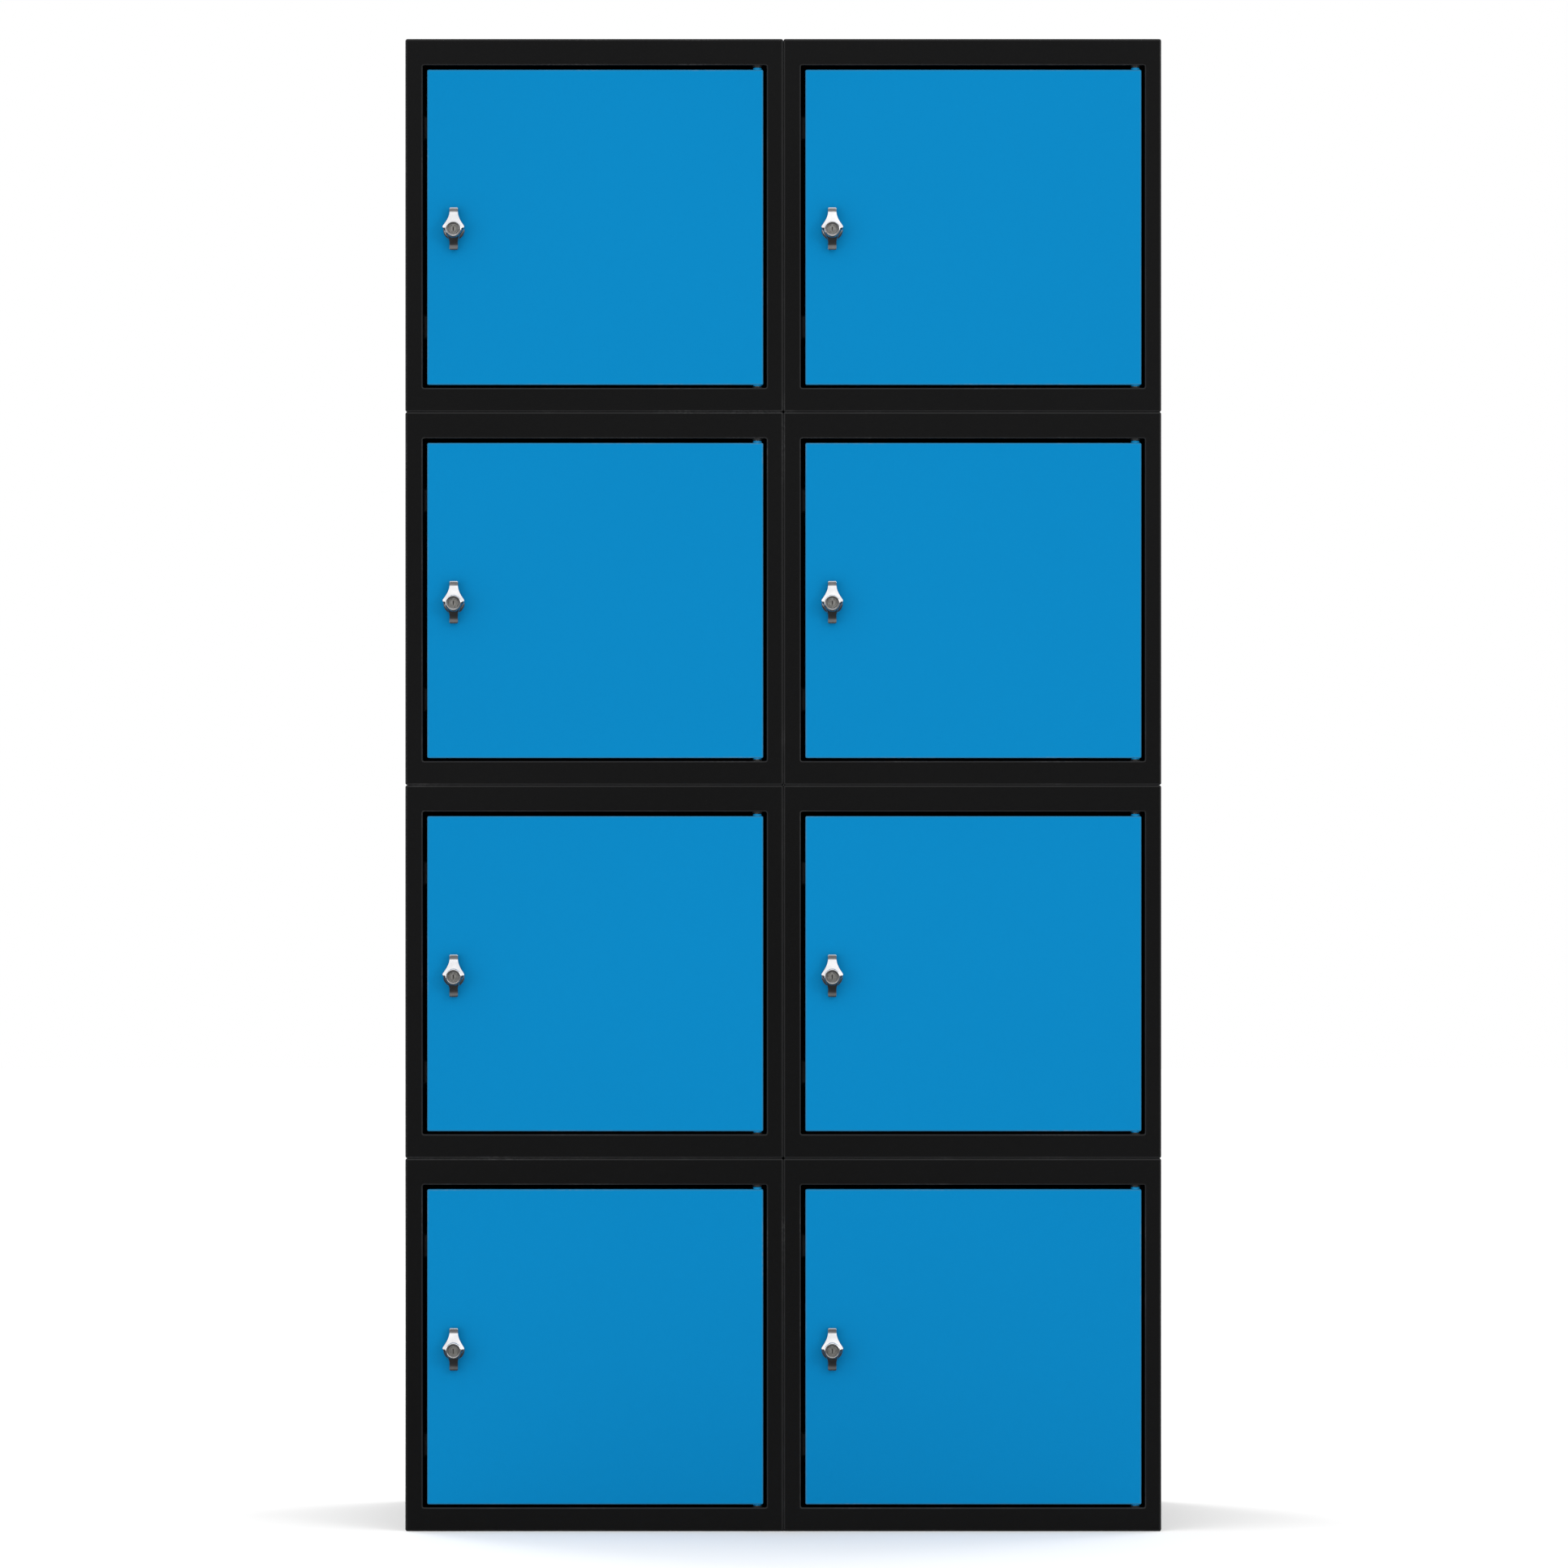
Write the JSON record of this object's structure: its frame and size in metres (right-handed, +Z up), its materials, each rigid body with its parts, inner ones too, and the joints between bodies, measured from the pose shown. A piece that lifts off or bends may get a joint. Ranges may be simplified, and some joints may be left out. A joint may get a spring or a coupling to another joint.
{
  "type": "coin operated locker",
  "caption": "Stack of sheet-steel locker modules with inset hinged doors, each locked by a wing knob and key plug with a coin-return mechanism behind the door.",
  "frame": {"origin": "middle of the base on the floor, half way between the front of the knobs and the back panels", "axes": "+Z up, +Y from the doors to the back, +X to the right as seen from the front"},
  "size_m": [0.7604, 0.4, 1.5012],
  "materials": {
    "carcass_paint": "satin black powder coat",
    "door_paint": "satin blue powder coat",
    "knob_chrome": "bright chrome on die-cast zinc",
    "plug_steel": "turned and dulled",
    "zinc_steel": "zinc plated",
    "black_nylon": "moulded nylon",
    "buffer_rubber": "moulded rubber",
    "case_plastic": "fine-textured moulded plastic",
    "carrier_brass": "stamped"
  },
  "bodies": {
    "root": {"side_panels_left": "carcass_paint", "side_panels_right": "carcass_paint", "top_panels": "carcass_paint", "base_panels": "carcass_paint", "back_panels": "carcass_paint", "pivot_pins": "zinc_steel", "pivot_bushes": "black_nylon", "latch_strikes": "zinc_steel", "door_stops": "carcass_paint", "door_buffers": "buffer_rubber", "joining_bolts": "zinc_steel", "joining_nuts": "zinc_steel"},
    "door_1": {"door_leaf_1": "door_paint", "coin_case_1": "case_plastic"},
    "knob_1": {"wing_knob_1": "knob_chrome", "latch_cam_1": "zinc_steel"},
    "plug_1": {"key_plug_1": "plug_steel"},
    "carrier_1": {"coin_slide_1": "carrier_brass"},
    "door_2": {"door_leaf_2": "door_paint", "coin_case_2": "case_plastic"},
    "knob_2": {"wing_knob_2": "knob_chrome", "latch_cam_2": "zinc_steel"},
    "plug_2": {"key_plug_2": "plug_steel"},
    "carrier_2": {"coin_slide_2": "carrier_brass"},
    "door_3": {"door_leaf_3": "door_paint", "coin_case_3": "case_plastic"},
    "knob_3": {"wing_knob_3": "knob_chrome", "latch_cam_3": "zinc_steel"},
    "plug_3": {"key_plug_3": "plug_steel"},
    "carrier_3": {"coin_slide_3": "carrier_brass"},
    "door_4": {"door_leaf_4": "door_paint", "coin_case_4": "case_plastic"},
    "knob_4": {"wing_knob_4": "knob_chrome", "latch_cam_4": "zinc_steel"},
    "plug_4": {"key_plug_4": "plug_steel"},
    "carrier_4": {"coin_slide_4": "carrier_brass"},
    "door_5": {"door_leaf_5": "door_paint", "coin_case_5": "case_plastic"},
    "knob_5": {"wing_knob_5": "knob_chrome", "latch_cam_5": "zinc_steel"},
    "plug_5": {"key_plug_5": "plug_steel"},
    "carrier_5": {"coin_slide_5": "carrier_brass"},
    "door_6": {"door_leaf_6": "door_paint", "coin_case_6": "case_plastic"},
    "knob_6": {"wing_knob_6": "knob_chrome", "latch_cam_6": "zinc_steel"},
    "plug_6": {"key_plug_6": "plug_steel"},
    "carrier_6": {"coin_slide_6": "carrier_brass"},
    "door_7": {"door_leaf_7": "door_paint", "coin_case_7": "case_plastic"},
    "knob_7": {"wing_knob_7": "knob_chrome", "latch_cam_7": "zinc_steel"},
    "plug_7": {"key_plug_7": "plug_steel"},
    "carrier_7": {"coin_slide_7": "carrier_brass"},
    "door_8": {"door_leaf_8": "door_paint", "coin_case_8": "case_plastic"},
    "knob_8": {"wing_knob_8": "knob_chrome", "latch_cam_8": "zinc_steel"},
    "plug_8": {"key_plug_8": "plug_steel"},
    "carrier_8": {"coin_slide_8": "carrier_brass"}
  },
  "joints": [
    {"name": "door_swing_1", "type": "hinge", "parent": "root", "child": "door_1", "pos_m": [-0.0262, -0.17454, 1.1532], "axis": [0, 0, 1], "range_deg": [0, 110]},
    {"name": "knob_turn_1", "type": "hinge", "parent": "door_1", "child": "knob_1", "pos_m": [-0.3312, -0.18, 1.3087], "axis": [0, 1, 0], "range_deg": [0, 90]},
    {"name": "key_turn_1", "type": "hinge", "parent": "knob_1", "child": "plug_1", "pos_m": [-0.3312, -0.18, 1.3087], "axis": [0, 1, 0], "range_deg": [0, 90]},
    {"name": "carrier_lift_1", "type": "slide", "parent": "door_1", "child": "carrier_1", "axis": [0, 0, 1], "range_m": [0, 0.0143]},
    {"name": "door_swing_2", "type": "hinge", "parent": "root", "child": "door_2", "pos_m": [0.3542, -0.17454, 1.1532], "axis": [0, 0, 1], "range_deg": [0, 110]},
    {"name": "knob_turn_2", "type": "hinge", "parent": "door_2", "child": "knob_2", "pos_m": [0.0492, -0.18, 1.3087], "axis": [0, 1, 0], "range_deg": [0, 90]},
    {"name": "key_turn_2", "type": "hinge", "parent": "knob_2", "child": "plug_2", "pos_m": [0.0492, -0.18, 1.3087], "axis": [0, 1, 0], "range_deg": [0, 90]},
    {"name": "carrier_lift_2", "type": "slide", "parent": "door_2", "child": "carrier_2", "axis": [0, 0, 1], "range_m": [0, 0.0143]},
    {"name": "door_swing_3", "type": "hinge", "parent": "root", "child": "door_3", "pos_m": [-0.0262, -0.17454, 0.7778], "axis": [0, 0, 1], "range_deg": [0, 110]},
    {"name": "knob_turn_3", "type": "hinge", "parent": "door_3", "child": "knob_3", "pos_m": [-0.3312, -0.18, 0.9333], "axis": [0, 1, 0], "range_deg": [0, 90]},
    {"name": "key_turn_3", "type": "hinge", "parent": "knob_3", "child": "plug_3", "pos_m": [-0.3312, -0.18, 0.9333], "axis": [0, 1, 0], "range_deg": [0, 90]},
    {"name": "carrier_lift_3", "type": "slide", "parent": "door_3", "child": "carrier_3", "axis": [0, 0, 1], "range_m": [0, 0.0143]},
    {"name": "door_swing_4", "type": "hinge", "parent": "root", "child": "door_4", "pos_m": [0.3542, -0.17454, 0.7778], "axis": [0, 0, 1], "range_deg": [0, 110]},
    {"name": "knob_turn_4", "type": "hinge", "parent": "door_4", "child": "knob_4", "pos_m": [0.0492, -0.18, 0.9333], "axis": [0, 1, 0], "range_deg": [0, 90]},
    {"name": "key_turn_4", "type": "hinge", "parent": "knob_4", "child": "plug_4", "pos_m": [0.0492, -0.18, 0.9333], "axis": [0, 1, 0], "range_deg": [0, 90]},
    {"name": "carrier_lift_4", "type": "slide", "parent": "door_4", "child": "carrier_4", "axis": [0, 0, 1], "range_m": [0, 0.0143]},
    {"name": "door_swing_5", "type": "hinge", "parent": "root", "child": "door_5", "pos_m": [-0.0262, -0.17454, 0.4024], "axis": [0, 0, 1], "range_deg": [0, 110]},
    {"name": "knob_turn_5", "type": "hinge", "parent": "door_5", "child": "knob_5", "pos_m": [-0.3312, -0.18, 0.5579], "axis": [0, 1, 0], "range_deg": [0, 90]},
    {"name": "key_turn_5", "type": "hinge", "parent": "knob_5", "child": "plug_5", "pos_m": [-0.3312, -0.18, 0.5579], "axis": [0, 1, 0], "range_deg": [0, 90]},
    {"name": "carrier_lift_5", "type": "slide", "parent": "door_5", "child": "carrier_5", "axis": [0, 0, 1], "range_m": [0, 0.0143]},
    {"name": "door_swing_6", "type": "hinge", "parent": "root", "child": "door_6", "pos_m": [0.3542, -0.17454, 0.4024], "axis": [0, 0, 1], "range_deg": [0, 110]},
    {"name": "knob_turn_6", "type": "hinge", "parent": "door_6", "child": "knob_6", "pos_m": [0.0492, -0.18, 0.5579], "axis": [0, 1, 0], "range_deg": [0, 90]},
    {"name": "key_turn_6", "type": "hinge", "parent": "knob_6", "child": "plug_6", "pos_m": [0.0492, -0.18, 0.5579], "axis": [0, 1, 0], "range_deg": [0, 90]},
    {"name": "carrier_lift_6", "type": "slide", "parent": "door_6", "child": "carrier_6", "axis": [0, 0, 1], "range_m": [0, 0.0143]},
    {"name": "door_swing_7", "type": "hinge", "parent": "root", "child": "door_7", "pos_m": [-0.0262, -0.17454, 0.027], "axis": [0, 0, 1], "range_deg": [0, 110]},
    {"name": "knob_turn_7", "type": "hinge", "parent": "door_7", "child": "knob_7", "pos_m": [-0.3312, -0.18, 0.1825], "axis": [0, 1, 0], "range_deg": [0, 90]},
    {"name": "key_turn_7", "type": "hinge", "parent": "knob_7", "child": "plug_7", "pos_m": [-0.3312, -0.18, 0.1825], "axis": [0, 1, 0], "range_deg": [0, 90]},
    {"name": "carrier_lift_7", "type": "slide", "parent": "door_7", "child": "carrier_7", "axis": [0, 0, 1], "range_m": [0, 0.0143]},
    {"name": "door_swing_8", "type": "hinge", "parent": "root", "child": "door_8", "pos_m": [0.3542, -0.17454, 0.027], "axis": [0, 0, 1], "range_deg": [0, 110]},
    {"name": "knob_turn_8", "type": "hinge", "parent": "door_8", "child": "knob_8", "pos_m": [0.0492, -0.18, 0.1825], "axis": [0, 1, 0], "range_deg": [0, 90]},
    {"name": "key_turn_8", "type": "hinge", "parent": "knob_8", "child": "plug_8", "pos_m": [0.0492, -0.18, 0.1825], "axis": [0, 1, 0], "range_deg": [0, 90]},
    {"name": "carrier_lift_8", "type": "slide", "parent": "door_8", "child": "carrier_8", "axis": [0, 0, 1], "range_m": [0, 0.0143]}
  ],
  "couplings": [
    {"joint": "carrier_lift_1", "follows": "knob_turn_1", "m_per_rad": 0.0090032},
    {"joint": "carrier_lift_2", "follows": "knob_turn_2", "m_per_rad": 0.0090032},
    {"joint": "carrier_lift_3", "follows": "knob_turn_3", "m_per_rad": 0.0090032},
    {"joint": "carrier_lift_4", "follows": "knob_turn_4", "m_per_rad": 0.0090032},
    {"joint": "carrier_lift_5", "follows": "knob_turn_5", "m_per_rad": 0.0090032},
    {"joint": "carrier_lift_6", "follows": "knob_turn_6", "m_per_rad": 0.0090032},
    {"joint": "carrier_lift_7", "follows": "knob_turn_7", "m_per_rad": 0.0090032},
    {"joint": "carrier_lift_8", "follows": "knob_turn_8", "m_per_rad": 0.0090032}
  ]
}
